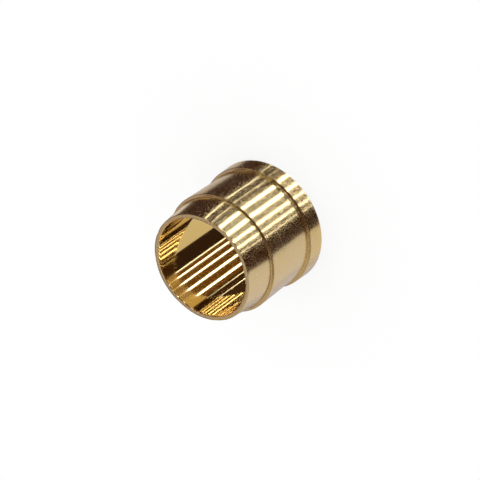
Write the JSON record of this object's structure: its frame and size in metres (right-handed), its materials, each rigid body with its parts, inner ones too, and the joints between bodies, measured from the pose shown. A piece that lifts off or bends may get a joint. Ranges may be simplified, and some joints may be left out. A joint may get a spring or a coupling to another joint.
{
  "type": "compression olive",
  "caption": "Turned brass sleeve with a plain through bore, a thin slightly conical nose, a wider waist and a raised collar at the back. It grips and seals a pipe in a compression fitting.",
  "frame": {"origin": "centre of the back face, the wide end on which the olive stands", "axes": "+Z along the bore, from the wide back face to the thin nose"},
  "size_m": [0.019, 0.019, 0.016],
  "materials": {
    "brass": "bright as turned, with fine feed marks round the axis"
  },
  "bodies": {
    "root": {"olive": "brass"}
  },
  "joints": []
}
